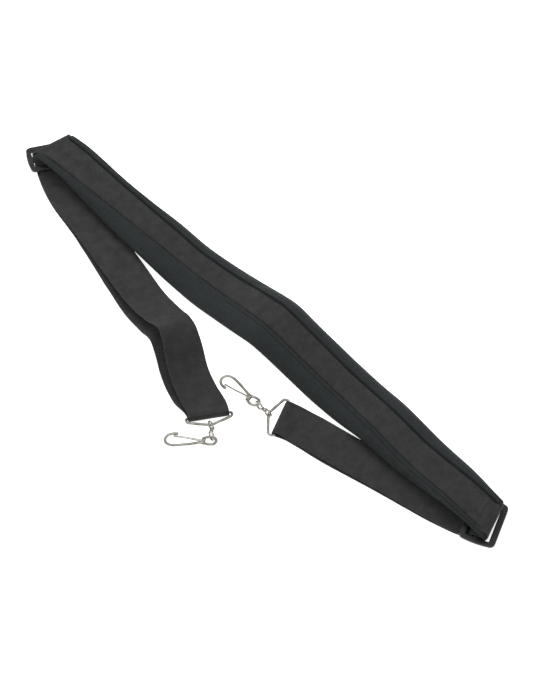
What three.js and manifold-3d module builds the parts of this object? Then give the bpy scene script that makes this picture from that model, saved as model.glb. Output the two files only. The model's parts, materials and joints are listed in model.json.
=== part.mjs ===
// Bass drum strap lying on a table: a padded shoulder section with webbing sewn along it, two webbing
// loops folded back towards the middle, and a swivel snap hook on the end of each loop.
// Millimetres, +Z up. X runs along the pad, Y across it; the loops lie on the -Y side.
import * as THREE from "three";
import { mergeVertices } from "three/addons/utils/BufferGeometryUtils.js";
import Module from "manifold-3d";

const wasm = await Module();
wasm.setup();

// Driving dimensions.
const webWidth = 38;
const webThick = 1.6;
const gap = 0.3; // running clearance between neighbouring pieces

const padMargin = 2.2; // how far the pad edge is drawn in from its widest line
const padEdge = 4.2; // thickness of the foam at its rim
const padSwell = 0.6; // how far the foam bulges between its rim and the webbing
const lipRise = 0.6; // height of the rounded lip beside the webbing
const channelDepth = webThick + gap;
const channelSide = 0.6; // clearance beside the webbing in the pad's channel

const slideLength = 34; // along the strap
const slideWidth = 49;
const slideThick = 3.4;
const slideBar = 6;
const slideBow = 1.6; // how far the short sides bulge
const slideCorner = 6;
const slideSlotWidth = 40;
const slideTilt = THREE.MathUtils.degToRad(6); // the free long bar hangs a little lower
const slideLift = 2.8; // underside of the centre bar above the table
const slideBevel = 0.7;

const ringWire = 1.4; // radii of the metal wires
const ringHalf = 21.5; // half the bar's length, on the wire's centreline
const ringDepth = 13.4;
const ringShoulder = 5.5; // how far the short sides run before they slant to the apex
const ringCorner = 2;
const ringApexCorner = 6;
const ringHeight = webThick + gap + ringWire; // the bar lies on the loop's lower layer

const eyeWire = 1;
const eyeRadius = 4.3; // centreline radius of a swivel eye
const ringSlack = 1.05; // play between a swivel eye and the ring that it holds
const hookSlack = 0.75; // and between the other eye and the hook
const eyeSpacing = 11.6; // between the two eyes' centres
const swivelPin = 0.7;
const swivelBore = 1;
const swivelCollar = 2;
const swivelHead = 1.35;
const swivelHeadLength = 0.8;

const hookWire = 1.45;
const hookBow = 4.2;
const gateWidth = 3.2;
const gateThick = 0.7;

const layersOpen = 18; // where a loop's two layers lie flat together, from the slide's centre bar
const ringSettle = 16; // length over which the layers close up beside the ring
const stationStep = 11; // between sections along a loop
const ringTurns = 8; // sections round the ring's bar

const wireSides = 6;

// Stations along the pad: place along X, centre line, lift of the underside, half width, thickness,
// sideways shift of the sewn webbing, and turn of the section seen from above (degrees).
const padStations = [
  { x: -306, y: 0.5, lift: 8.6, half: 21.6, thick: 6.4, shift: -0.6, turn: -8 },
  { x: -286, y: 0.4, lift: 8.6, half: 21.8, thick: 7.2, shift: 0, turn: -3 },
  { x: -250, y: -1, lift: 7.0, half: 23, thick: 8.6, shift: 0.6, turn: 0 },
  { x: -200, y: -2.4, lift: 5.0, half: 26.2, thick: 10.2, shift: 1.4, turn: 0 },
  { x: -150, y: -3, lift: 4.0, half: 28.4, thick: 11.4, shift: 2, turn: 0 },
  { x: -112, y: -2, lift: 0, half: 29.4, thick: 12.6, shift: 2.2, turn: 0 },
  { x: -82, y: -1, lift: 0, half: 30.8, thick: 13.2, shift: 2.4, turn: 0 },
  { x: -50, y: 0, lift: 4, half: 31.8, thick: 13.2, shift: 2.4, turn: 0 },
  { x: -20, y: 0.3, lift: 10.2, half: 32.4, thick: 13.2, shift: 2, turn: 0 },
  { x: 0, y: 0.2, lift: 13.4, half: 32.4, thick: 13, shift: 1.8, turn: 0 },
  { x: 20, y: 0.8, lift: 10.2, half: 32, thick: 13.2, shift: 1.4, turn: 0 },
  { x: 50, y: 1.8, lift: 4, half: 31.6, thick: 13.2, shift: 1, turn: 0 },
  { x: 82, y: 1.4, lift: 0, half: 31.2, thick: 13.2, shift: 0.8, turn: 0 },
  { x: 110, y: 1, lift: 0, half: 30.6, thick: 12.8, shift: 0.4, turn: 0 },
  { x: 140, y: -0.2, lift: 4.1, half: 29.6, thick: 11.4, shift: -0.6, turn: 0 },
  { x: 200, y: -2.8, lift: 5.0, half: 26.6, thick: 10.2, shift: -1.4, turn: 0 },
  { x: 246, y: -3.6, lift: 7.4, half: 24.2, thick: 8.6, shift: -1.2, turn: 4 },
  { x: 266, y: -4.2, lift: 8.6, half: 23, thick: 7.4, shift: -0.8, turn: 10 },
  { x: 290, y: -5.6, lift: 8.6, half: 21.8, thick: 6.4, shift: -0.4, turn: 22 },
];

// Each loop's route seen from above, from its slide to its ring: place, how high the loop is raised off
// the table, how far its lower layer has slipped out sideways, and how far the upper layer's near edge is
// banked up (degrees).
const leftRoute = [
  { x: -262, y: -25.4, raise: 0, slip: 0, bank: 0 },
  { x: -210, y: -36, raise: 0, slip: 1.5, bank: 0 },
  { x: -150, y: -50, raise: 0, slip: 4.5, bank: 3 },
  { x: -108, y: -60, raise: 1.5, slip: 6, bank: 8 },
  { x: -78, y: -66.5, raise: 10, slip: 6.5, bank: 13 },
  { x: -58, y: -71, raise: 17, slip: 6.5, bank: 19 },
  { x: -42, y: -77.5, raise: 12, slip: 6.5, bank: 18 },
  { x: -22, y: -88, raise: 2, slip: 6, bank: 12 },
  { x: 1, y: -97.4, raise: 0, slip: 5, bank: 4 },
];
const rightRoute = [
  { x: 240, y: -25.6, raise: 0, slip: -0.5, bank: 0 },
  { x: 190, y: -35.5, raise: 0, slip: -1, bank: 0 },
  { x: 130, y: -48.4, raise: 0, slip: -1.6, bank: 0 },
  { x: 106, y: -52.8, raise: 0, slip: -1, bank: 0 },
];
const slideLead = 8; // the webbing runs straight for two such steps at a slide
const ringLead = 5; // and for two of these at a ring

// Angles seen from above, in degrees from +X. The pad's end lies foldStart outwards from the centre bar.
// The swivel's eyes stand upright at a roll of 0.
const leftSide = {
  end: -1,
  foldStart: 5,
  slideAt: { x: -304.2, y: -5.8 },
  slideAngle: 151,
  route: leftRoute,
  ringAt: { x: 27.8, y: -108 },
  ringAngle: -32,
  swivelAngle: -40,
  swivelRoll: 30,
  hookAngle: 221,
  flip: 1,
};
const rightSide = {
  end: 1,
  foldStart: 7.2,
  slideAt: { x: 283.5, y: -10.5 },
  slideAngle: 27,
  route: rightRoute,
  ringAt: { x: 76.8, y: -62.2 },
  ringAngle: 206,
  swivelAngle: 180,
  swivelRoll: 0,
  hookAngle: 180,
  flip: -1,
};

// The snap hook's wire from the bow round to its turned tip, in the hook's own plane.
const hookPoints = [
  { along: 7.4, across: -3.1 },
  { along: 3.4, across: -4.3 },
  { along: -1.6, across: -3.9 },
  { along: -hookBow, across: 0 },
  { along: -1.6, across: 3.9 },
  { along: 3.4, across: 4.1 },
  { along: 9.4, across: 2.3 },
  { along: 19, across: 4 },
  { along: 29, across: 5.6 },
  { along: 36.5, across: 6 },
  { along: 41.6, across: 4 },
  { along: 43.4, across: -0.6 },
  { along: 41.4, across: -5 },
  { along: 37, across: -7 },
  { along: 31.5, across: -7.3 },
];
const gateRoot = { along: 8.6, across: 0.1 };
const gateTip = { along: 36, across: -4.6 };

const up = new THREE.Vector3(0, 0, 1);
const flat = (degrees) =>
  new THREE.Vector3(Math.cos(THREE.MathUtils.degToRad(degrees)), Math.sin(THREE.MathUtils.degToRad(degrees)), 0);

const materials = {
  cover: new THREE.MeshStandardMaterial({ color: 0x2c3234, roughness: 0.9, metalness: 0 }),
  webbing: new THREE.MeshStandardMaterial({ color: 0x35353a, roughness: 0.8, metalness: 0 }),
  plastic: new THREE.MeshStandardMaterial({ color: 0x2a2a2a, roughness: 0.45, metalness: 0 }),
  nickel: new THREE.MeshStandardMaterial({ color: 0xc8c8be, roughness: 0.25, metalness: 1 }),
};

// A closed skin over rows of section points, all rows alike in number, with flat ends.
function loft(rows) {
  const sides = rows[0].length;
  const index = [];
  for (let r = 0; r < rows.length - 1; r++) {
    for (let s = 0; s < sides; s++) {
      const t = (s + 1) % sides;
      const [a, b, c, d] = [r * sides + s, r * sides + t, (r + 1) * sides + s, (r + 1) * sides + t];
      index.push(a, d, b);
      index.push(a, c, d);
    }
  }
  const end = (rows.length - 1) * sides;
  for (const [a, b, c] of capFaces(rows[0])) index.push(a, b, c);
  for (const [a, b, c] of capFaces(rows.at(-1))) index.push(end + a, end + c, end + b);
  const geometry = new THREE.BufferGeometry().setFromPoints(rows.flat());
  geometry.setIndex(index);
  geometry.computeVertexNormals();
  return geometry;
}

// Triangles over one flat section, worked out in the section's own plane.
function capFaces(row) {
  const across = row[1].clone().sub(row[0]).normalize();
  const normal = new THREE.Vector3();
  row.forEach((p, i) => normal.add(new THREE.Vector3().crossVectors(p, row[(i + 1) % row.length])));
  const side = normal.normalize().clone().cross(across);
  const outline = row.map((p) => new THREE.Vector2(p.dot(across), p.dot(side)));
  return THREE.ShapeUtils.triangulateShape(outline, []);
}

// A wire of round section along points, in a plane whose normal is given.
function wire(points, radius, planeNormal) {
  const rows = points.map((point, i) => {
    const ahead = points[Math.min(i + 1, points.length - 1)];
    const behind = points[Math.max(i - 1, 0)];
    const out = ahead.clone().sub(behind).normalize().cross(planeNormal).normalize();
    return Array.from({ length: wireSides }, (_, k) => {
      const angle = (2 * Math.PI * (k + 0.5)) / wireSides;
      return point
        .clone()
        .addScaledVector(out, radius * Math.cos(angle))
        .addScaledVector(planeNormal, radius * Math.sin(angle));
    });
  });
  return loft(rows);
}

// Flat webbing through stations, each a point and the direction of its width.
function ribbon(stations) {
  const rows = stations.map(({ at, across }, i) => {
    const ahead = stations[Math.min(i + 1, stations.length - 1)].at;
    const behind = stations[Math.max(i - 1, 0)].at;
    const normal = ahead.clone().sub(behind).cross(across).normalize();
    const corner = (a, n) =>
      at
        .clone()
        .addScaledVector(across, (a * webWidth) / 2)
        .addScaledVector(normal, (n * webThick) / 2);
    return [corner(-1, -1), corner(-1, 1), corner(1, 1), corner(1, -1)];
  });
  return loft(rows);
}

function mesh(name, geometry, material) {
  const made = new THREE.Mesh(geometry, material);
  made.name = name;
  return made;
}

// Frame of a pad station: its middle, the direction across it, and the height of the webbing's middle.
function padFrame(row) {
  const across = flat(90 + row.turn);
  const middle = new THREE.Vector3(row.x, row.y, 0);
  return { middle, across, webZ: row.lift + row.thick - webThick / 2 };
}

function shoulderPad() {
  const rows = padStations.map((row) => {
    const { middle, across } = padFrame(row);
    const channel = webWidth / 2 + channelSide;
    const top = row.thick - 0.2;
    const point = (y, z) => middle.clone().addScaledVector(across, y).addScaledVector(up, row.lift + z);
    const left = -channel + row.shift;
    const right = channel + row.shift;
    return [
      point(-row.half + padMargin, 0),
      point(-row.half, padEdge * 0.45),
      point(-row.half + padSwell, padEdge),
      point((left - row.half) / 2 + 0.2, (top + padEdge) / 2 + padSwell),
      point(left - 0.5, top),
      point(left, top - lipRise),
      point(left, row.thick - channelDepth),
      point(right, row.thick - channelDepth),
      point(right, top - lipRise),
      point(right + 0.5, top),
      point((right + row.half) / 2 - 0.2, (top + padEdge) / 2 + padSwell),
      point(row.half - padSwell, padEdge),
      point(row.half, padEdge * 0.45),
      point(row.half - padMargin, 0),
    ];
  });
  return mesh("shoulder_pad", loft(rows), materials.cover);
}

// The webbing's turn from the pad's end down through the slide's outer slot and under its centre bar.
// Place outwards from the centre bar, height, and share of the way from the pad's frame to the slide's.
const foldSteps = [
  { out: 9.6, z: 14, share: 0.04 },
  { out: 10.4, z: 11, share: 0.15 },
  { out: 9.2, z: 7.4, share: 0.6 },
  { out: 7, z: 4, share: 1 },
  { out: 4.6, z: 1.5, share: 1 },
  { out: -1.6, z: webThick / 2, share: 1 },
];

function foldStations(side) {
  const outwards = flat(side.slideAngle);
  const bar = new THREE.Vector3(side.slideAt.x, side.slideAt.y, 0);
  const padEnd = side.end < 0 ? padStations[0] : padStations.at(-1);
  const pad = padFrame(padEnd);
  const padMiddle = pad.middle.clone().addScaledVector(pad.across, padEnd.shift);
  const slideAcross = outwards.clone().cross(up).multiplyScalar(-side.end);
  return foldSteps.map(({ out, z, share }) => {
    const alongSlide = bar.clone().addScaledVector(outwards, out);
    const alongPad = padMiddle.clone().setX(padMiddle.x + side.end * (out - side.foldStart));
    return {
      at: alongPad.lerp(alongSlide, share).setZ(z),
      across: pad.across.clone().lerp(slideAcross, share).normalize(),
    };
  });
}

function padWebbing() {
  const along = padStations.map((row) => {
    const { middle, across, webZ } = padFrame(row);
    return { at: middle.addScaledVector(across, row.shift).setZ(webZ), across };
  });
  const stations = [...foldStations(leftSide).reverse(), ...along, ...foldStations(rightSide)];
  return mesh("pad_webbing", ribbon(stations), materials.webbing);
}

// A loop's route as a smooth curve, with the raise, slip and bank read off the table at the same place.
function routeOf(side) {
  const step = (at, angle, distance) => {
    const point = new THREE.Vector3(at.x, at.y, 0).addScaledVector(flat(angle), distance);
    return { x: point.x, y: point.y, raise: 0, slip: 0, bank: 0 };
  };
  const table = [
    ...[0, -1, -2].map((n) => step(side.slideAt, side.slideAngle, n * slideLead)),
    ...side.route,
    ...[-2, -1, 0].map((n) => step(side.ringAt, side.ringAngle, n * ringLead)),
  ];
  const points = table.map((row) => new THREE.Vector3(row.x, row.y, row.raise));
  const curve = new THREE.CatmullRomCurve3(points, false, "centripetal");
  curve.arcLengthDivisions = 600;
  const length = curve.getLength();
  // The point, sideways direction, slip and bank at a distance from the slide's centre bar. Before it and
  // past the ring's bar the route runs straight on.
  const at = (distance) => {
    const u = THREE.MathUtils.clamp(distance / length, 0, 1);
    const t = curve.getUtoTmapping(u) * (table.length - 1);
    const row = Math.min(Math.floor(t), table.length - 2);
    const heading = curve.getTangentAt(u);
    const point = curve.getPointAt(u).addScaledVector(heading, distance - u * length);
    point.z = Math.max(point.z, 0);
    const slip = THREE.MathUtils.lerp(table[row].slip, table[row + 1].slip, t - row);
    const bank = THREE.MathUtils.degToRad(THREE.MathUtils.lerp(table[row].bank, table[row + 1].bank, t - row));
    return { point, across: up.clone().cross(heading).normalize(), slip, bank };
  };
  return { length, at };
}

// The doubled loop as one length of webbing: sewn end over the slide's centre bar, upper layer out to
// the ring, round its bar, and the lower layer back to the slide.
function loopStrap(name, side) {
  const route = routeOf(side);
  const wrap = ringWire + gap + webThick / 2; // the loop's radius round the ring's bar
  const barAt = route.length; // distance of the ring's bar from the slide's centre bar
  const lower = webThick / 2;
  const upper = lower + webThick + gap;
  const overBar = slideLift + slideThick + gap + webThick / 2;
  const stations = [];
  const add = (distance, height, slipShare) => {
    const { point, across, slip } = route.at(distance);
    stations.push({ at: point.addScaledVector(across, slip * slipShare).setZ(point.z + height), across });
  };
  // The upper layer turns up about its far edge.
  const addBanked = (distance, height) => {
    const { point, across, bank } = route.at(distance);
    const banked = across.clone().multiplyScalar(Math.cos(bank)).addScaledVector(up, -Math.sin(bank));
    const farEdge = point.addScaledVector(across, webWidth / 2).setZ(point.z + height);
    stations.push({ at: farEdge.addScaledVector(banked, -webWidth / 2), across: banked });
  };
  const tiltAt = (distance) => distance * Math.sin(slideTilt);
  // The sewn end over the tilted centre bar: distances along the strap from the middle of the bar.
  add(-3, overBar + tiltAt(-3), 0);
  add(3.6, overBar + tiltAt(3.6), 0);
  add(6.6, (overBar + upper) / 2, 0);
  add(10, upper + 0.1, 0);
  const flatEnd = barAt - ringSettle;
  const steps = Math.round((flatEnd - layersOpen) / stationStep);
  const flatAt = (i) => THREE.MathUtils.lerp(layersOpen, flatEnd, i / steps);
  for (let i = 0; i <= steps; i++) addBanked(flatAt(i), upper);
  add(barAt - ringSettle / 2, (upper + ringHeight + wrap) / 2, 0);
  for (let i = 0; i <= ringTurns; i++) {
    const angle = (Math.PI * i) / ringTurns;
    add(barAt + wrap * Math.sin(angle), ringHeight + wrap * Math.cos(angle), 0);
  }
  for (let i = steps; i >= 0; i--) add(flatAt(i), lower, -1);
  add(2.4, lower, 0);
  return mesh(name, ribbon(stations), materials.webbing);
}

function slideOutline() {
  const x = slideLength / 2;
  const y = slideWidth / 2;
  const c = slideCorner;
  const outline = new THREE.Shape();
  outline.moveTo(-x + c, -y);
  outline.quadraticCurveTo(0, -y - slideBow, x - c, -y);
  outline.quadraticCurveTo(x, -y, x, -y + c);
  outline.lineTo(x, y - c);
  outline.quadraticCurveTo(x, y, x - c, y);
  outline.quadraticCurveTo(0, y + slideBow, -x + c, y);
  outline.quadraticCurveTo(-x, y, -x, y - c);
  outline.lineTo(-x, -y + c);
  outline.quadraticCurveTo(-x, -y, -x + c, -y);
  return outline;
}

function slide(name, side) {
  const geometry = new THREE.ExtrudeGeometry(slideOutline(), {
    depth: slideThick - 2 * slideBevel,
    bevelThickness: slideBevel,
    bevelSize: slideBevel,
    bevelOffset: -slideBevel,
    bevelSegments: 1,
    curveSegments: 5,
  });
  geometry.translate(0, 0, slideBevel);
  const slotLength = slideLength / 2 - 1.5 * slideBar;
  let body = solid(geometry);
  for (const way of [-1, 1]) {
    const slot = new THREE.BoxGeometry(slotLength, slideSlotWidth, 3 * slideThick);
    body = body.subtract(solid(slot.translate((way * (slideBar + slotLength)) / 2, 0, 0)));
  }
  const placed = geometryOf(body);
  placed.rotateY(slideTilt); // the outer bar, at +X here, goes down
  placed.rotateZ(THREE.MathUtils.degToRad(side.slideAngle));
  const made = mesh(name, placed, materials.plastic);
  made.position.set(side.slideAt.x, side.slideAt.y, slideLift);
  return made;
}

// Corner of a wire outline: an arc of the given radius tangent to both straight sides.
function roundedLoop(corners) {
  const path = new THREE.CurvePath();
  const trims = corners.map((corner, i) => {
    const before = corners.at(i - 1).at;
    const after = corners[(i + 1) % corners.length].at;
    const back = before.clone().sub(corner.at).normalize();
    const on = after.clone().sub(corner.at).normalize();
    const cut = corner.radius / Math.tan(back.angleTo(on) / 2);
    return {
      from: corner.at.clone().addScaledVector(back, cut),
      to: corner.at.clone().addScaledVector(on, cut),
      at: corner.at,
    };
  });
  trims.forEach((trim, i) => {
    path.add(new THREE.QuadraticBezierCurve3(trim.from, trim.at, trim.to));
    path.add(new THREE.LineCurve3(trim.to, trims[(i + 1) % trims.length].from));
  });
  return path;
}

// A ring's bar lies in the webbing, and its apex is held up by the swivel eye that stands in it.
const ringSlant = Math.atan2(ringDepth - ringShoulder, ringHalf);
const ringApex = ringDepth - (ringApexCorner * Math.tan(ringSlant / 2) * Math.sin(ringSlant)) / 2; // rounded
const eyeHeight = eyeRadius + eyeWire;
const ringReach = eyeRadius - eyeWire - ringWire - ringSlack; // from an eye's centre to the wire it holds
const hookReach = eyeRadius - eyeWire - hookWire - hookSlack;

// Where a side's ring sits: its bar's middle, and the way it points.
function ringPlace(side) {
  const rise = (eyeHeight - ringHeight) / ringApex;
  const out = flat(side.ringAngle).multiplyScalar(Math.sqrt(1 - rise * rise)).addScaledVector(up, rise);
  return { bar: new THREE.Vector3(side.ringAt.x, side.ringAt.y, ringHeight), out };
}

function ring(name, side) {
  const { bar, out } = ringPlace(side);
  const across = up.clone().cross(out).normalize();
  const place = (x, y) => bar.clone().addScaledVector(out, x).addScaledVector(across, y);
  const path = roundedLoop([
    { at: place(0, -ringHalf), radius: ringCorner },
    { at: place(ringShoulder, -ringHalf), radius: ringCorner },
    { at: place(ringDepth, 0), radius: ringApexCorner },
    { at: place(ringShoulder, ringHalf), radius: ringCorner },
    { at: place(0, ringHalf), radius: ringCorner },
  ]);
  return mesh(name, new THREE.TubeGeometry(path, 42, ringWire, wireSides, true), materials.nickel);
}

// Centres of a side's two swivel eyes. The first holds the ring's apex, the second the hook's bow.
function eyeCentres(side) {
  const { bar, out } = ringPlace(side);
  const along = flat(side.swivelAngle);
  const first = bar.clone().addScaledVector(out, ringApex).addScaledVector(along, ringReach);
  return { first, second: first.clone().addScaledVector(along, eyeSpacing), along };
}

// A solid of manifold-3d from a closed geometry, and the way back.
function solid(geometry) {
  const bare = geometry.clone();
  bare.deleteAttribute("normal");
  bare.deleteAttribute("uv");
  const merged = mergeVertices(bare, 1e-4);
  const made = new wasm.Mesh({
    numProp: 3,
    vertProperties: merged.attributes.position.array,
    triVerts: new Uint32Array(merged.index.array),
  });
  return new wasm.Manifold(made);
}

function geometryOf(manifold) {
  const made = manifold.getMesh();
  const geometry = new THREE.BufferGeometry();
  geometry.setAttribute("position", new THREE.BufferAttribute(made.vertProperties, 3));
  geometry.setIndex(new THREE.BufferAttribute(made.triVerts, 1));
  geometry.computeVertexNormals();
  return geometry;
}

// A swivel's pieces are made along +X from the first eye's centre, then turned into place.
function eyeSolid(x) {
  return solid(new THREE.TorusGeometry(eyeRadius, eyeWire, 8, 14).rotateX(Math.PI / 2).translate(x, 0, 0));
}

function rodSolid(radius, from, to) {
  const rod = new THREE.CylinderGeometry(radius, radius, to - from, 12);
  return solid(rod.rotateZ(Math.PI / 2).translate((from + to) / 2, 0, 0));
}

const collarEnd = eyeSpacing / 2 - gap / 2;
const headEnd = Math.sqrt((eyeRadius - eyeWire - gap) ** 2 - swivelHead ** 2); // inside the eye's round hole
const headStart = headEnd - swivelHeadLength;

function swivelPiece(name, side, made) {
  const { first } = eyeCentres(side);
  const placed = mesh(name, geometryOf(made), materials.nickel);
  const { swivelRoll, swivelAngle } = side;
  placed.rotation.set(THREE.MathUtils.degToRad(swivelRoll), 0, THREE.MathUtils.degToRad(swivelAngle), "ZYX");
  placed.position.copy(first);
  return placed;
}

// The eye on the ring, with a bored collar; the other eye's pin turns in it.
function swivelEye(name, side) {
  const body = eyeSolid(0).add(rodSolid(swivelCollar, eyeRadius - eyeWire / 2, collarEnd));
  return swivelPiece(name, side, body.subtract(rodSolid(swivelBore, 0, collarEnd + 1)));
}

function swivelPinEye(name, side) {
  const collar = rodSolid(swivelCollar, collarEnd + gap, eyeSpacing - eyeRadius + eyeWire / 2);
  const pin = rodSolid(swivelPin, headStart, collarEnd + 2 * gap);
  const head = rodSolid(swivelHead, headStart, headEnd);
  return swivelPiece(name, side, eyeSolid(eyeSpacing).add(collar).add(pin).add(head));
}

// A hook's own frame: the bow's centre, the way to its nose, sideways, and the normal of its plane.
function hookFrame(side) {
  const { second, along } = eyeCentres(side);
  const bow = second.clone().addScaledVector(along, hookReach + hookBow);
  const nose = Math.max(...hookPoints.map((point) => point.along));
  const drop = (bow.z - hookWire) / nose; // the nose rests on the table
  const heading = flat(side.hookAngle).multiplyScalar(Math.sqrt(1 - drop * drop)).addScaledVector(up, -drop);
  const across = up.clone().cross(heading).normalize().multiplyScalar(side.flip);
  const normal = heading.clone().cross(across).normalize();
  const place = (point) => bow.clone().addScaledVector(heading, point.along).addScaledVector(across, point.across);
  return { place, normal };
}

function hook(name, side) {
  const { place, normal } = hookFrame(side);
  const curve = new THREE.CatmullRomCurve3(hookPoints.map(place), false, "centripetal");
  return mesh(name, wire(curve.getSpacedPoints(44), hookWire, normal), materials.nickel);
}

function hookGate(name, side) {
  const { place, normal } = hookFrame(side);
  const root = place(gateRoot);
  const tip = place(gateTip);
  const out = tip.clone().sub(root).normalize().cross(normal).normalize();
  const rows = [root, tip].map((point) => {
    const corner = (a, b) =>
      point.clone().addScaledVector(out, (a * gateThick) / 2).addScaledVector(normal, (b * gateWidth) / 2);
    return [corner(-1, -1), corner(1, -1), corner(1, 1), corner(-1, 1)];
  });
  return mesh(name, loft(rows), materials.nickel);
}

const strap = new THREE.Group();
strap.add(shoulderPad(), padWebbing());
for (const [prefix, side] of [["left", leftSide], ["right", rightSide]]) {
  strap.add(
    slide(`${prefix}_slide`, side),
    loopStrap(`${prefix}_strap`, side),
    ring(`${prefix}_ring`, side),
    swivelEye(`${prefix}_swivel_eye`, side),
    swivelPinEye(`${prefix}_swivel_pin`, side),
    hook(`${prefix}_hook`, side),
    hookGate(`${prefix}_hook_gate`, side),
  );
}

// The origin is the middle of the footprint, on the table.
strap.updateMatrixWorld(true);
const box = new THREE.Box3().setFromObject(strap, true);
const centre = box.getCenter(new THREE.Vector3());
strap.position.set(-centre.x, -centre.y, -box.min.z);

export default strap;
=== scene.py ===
import json
import math

import bmesh
import bpy
import numpy as np
from mathutils import Matrix, Vector, noise
from mathutils.bvhtree import BVHTree


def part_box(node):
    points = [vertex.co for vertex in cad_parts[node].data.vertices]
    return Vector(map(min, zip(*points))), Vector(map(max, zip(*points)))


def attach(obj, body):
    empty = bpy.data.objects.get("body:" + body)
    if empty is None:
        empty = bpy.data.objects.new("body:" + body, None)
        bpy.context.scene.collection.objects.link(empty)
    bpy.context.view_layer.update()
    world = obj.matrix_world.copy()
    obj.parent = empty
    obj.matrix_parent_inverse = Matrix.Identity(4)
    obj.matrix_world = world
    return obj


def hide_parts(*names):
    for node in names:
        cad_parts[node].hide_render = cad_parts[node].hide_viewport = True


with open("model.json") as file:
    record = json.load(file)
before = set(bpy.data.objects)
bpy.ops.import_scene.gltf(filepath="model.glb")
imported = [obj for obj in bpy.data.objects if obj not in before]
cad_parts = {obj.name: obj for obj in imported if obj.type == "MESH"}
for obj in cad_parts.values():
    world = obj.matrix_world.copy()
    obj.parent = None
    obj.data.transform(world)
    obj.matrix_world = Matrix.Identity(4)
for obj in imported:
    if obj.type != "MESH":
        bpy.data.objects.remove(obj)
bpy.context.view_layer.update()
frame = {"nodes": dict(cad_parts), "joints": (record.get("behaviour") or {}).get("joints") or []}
joints = {joint["name"]: joint for joint in frame["joints"]}
mm = 0.001
up = Vector((0, 0, 1))


# Colour and nodes

def linear(hexColour):
    parts = [int(hexColour[i:i + 2], 16) / 255 for i in (1, 3, 5)]
    return tuple(c / 12.92 if c <= 0.04045 else ((c + 0.055) / 1.055) ** 2.4 for c in parts) + (1.0,)


def addNode(tree, kind, settings=None, links=None):
    node = tree.nodes.new("ShaderNode" + kind)
    for name, value in (settings or {}).items():
        if isinstance(name, str) and hasattr(node, name):
            setattr(node, name, value)
        else:
            node.inputs[name].default_value = value
    for name, source in (links or {}).items():
        tree.links.new(source, node.inputs[name])
    return node


def newMaterial(name):
    made = bpy.data.materials.new(name)
    made.use_nodes = True
    made.node_tree.nodes.clear()
    return made, made.node_tree


def finishMaterial(tree, settings, links, height, distance):
    bump = addNode(tree, "Bump", {"Strength": 1.0, "Distance": distance}, {"Height": height})
    shader = addNode(tree, "BsdfPrincipled", settings, {"Normal": bump.outputs["Normal"], **links})
    addNode(tree, "OutputMaterial", {}, {"Surface": shader.outputs["BSDF"]})


webbingLook = {
    # painted shade: the colour of the valleys between the ribs
    "valleyShade": "#1a1a1a",
    "rib": "#333333",
    "ribPitch": 1.7 * mm,     # crosswise ribs, drawn a little coarser than the thread so that they show
    "warpPitch": 1.0 * mm,    # lengthwise yarns
    "ribDepth": 0.16 * mm,
    "warpDepth": 0.07 * mm,
    "ribWobble": 0.25 * mm,   # how far a rib strays from straight
}


# Woven polypropylene webbing: matt ribs across the tape, painted shade darkening the valleys between them, a faint
# sheen along the yarns.
def wovenPolypropylene():
    look = webbingLook
    made, tree = newMaterial("wovenPolypropyleneWebbing")
    uv = addNode(tree, "UVMap", {"uv_map": "tape"}).outputs["UV"]
    split = addNode(tree, "SeparateXYZ", {}, {"Vector": uv})
    wobble = addNode(tree, "TexNoise", {"Scale": 90.0, "Detail": 3.0}, {"Vector": uv}).outputs["Fac"]
    shiftedAlong = addNode(tree, "Math", {"operation": "MULTIPLY_ADD", 1: look["ribWobble"]},
                           {0: wobble, 2: split.outputs["Y"]})
    ribPhase = addNode(tree, "Math", {"operation": "MULTIPLY", 1: 2 * math.pi / look["ribPitch"]},
                       {0: shiftedAlong.outputs[0]})
    rib = addNode(tree, "Math", {"operation": "SINE"}, {0: ribPhase.outputs[0]})
    ribHeight = addNode(tree, "MapRange", {"From Min": -1.0, "From Max": 0.7}, {"Value": rib.outputs[0]})
    warpPhase = addNode(tree, "Math", {"operation": "MULTIPLY", 1: 2 * math.pi / look["warpPitch"]},
                        {0: split.outputs["X"]})
    warp = addNode(tree, "Math", {"operation": "SINE"}, {0: warpPhase.outputs[0]})
    warpHeight = addNode(tree, "MapRange", {"From Min": -1.0, "From Max": 1.0}, {"Value": warp.outputs[0]})
    height = addNode(tree, "Math", {"operation": "MULTIPLY_ADD", 1: look["warpDepth"] / look["ribDepth"]},
                     {0: warpHeight.outputs[0], 2: ribHeight.outputs[0]})
    fuzz = addNode(tree, "TexNoise", {"Scale": 520.0, "Detail": 5.0, "Roughness": 0.75}, {"Vector": uv}).outputs["Fac"]
    rough = addNode(tree, "Math", {"operation": "MULTIPLY_ADD", 1: 1.1}, {0: fuzz, 2: height.outputs[0]})
    patches = addNode(tree, "TexNoise", {"Scale": 75.0, "Detail": 6.0, "Roughness": 0.75}, {"Vector": uv})
    # Colour runs from painted shade in the valleys up to the ribs' own tone, following the rib height, with random fuzz
    # mixed in
    tone = addNode(tree, "ValToRGB", {}, {"Fac": rough.outputs[0]})
    tone.color_ramp.elements[0].position = 0.3
    tone.color_ramp.elements[0].color = linear(look["valleyShade"])
    tone.color_ramp.elements[1].position = 1.0
    tone.color_ramp.elements[1].color = linear(look["rib"])
    patchRange = addNode(tree, "MapRange", {"From Min": 0.3, "From Max": 0.7, "To Min": 0.68, "To Max": 1.25},
                         {"Value": patches.outputs["Fac"]})
    colour = addNode(tree, "VectorMath", {"operation": "SCALE"},
                     {0: tone.outputs["Color"], "Scale": patchRange.outputs[0]})
    finishMaterial(
        tree,
        {"Roughness": 0.8, "Sheen Weight": 0.12, "Sheen Roughness": 0.45, "Sheen Tint": linear("#8d8f93"),
         "Specular IOR Level": 0.25},
        {"Base Color": colour.outputs[0]},
        rough.outputs[0], look["ribDepth"])
    return made


coverLook = {
    # painted shade: the colour of the gaps between the knitted loops
    "loopGapShade": "#141616",
    "face": "#2b2e2e",
    "loopSize": 0.9 * mm,   # one knitted loop
    "loopDepth": 0.12 * mm,
}
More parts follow.
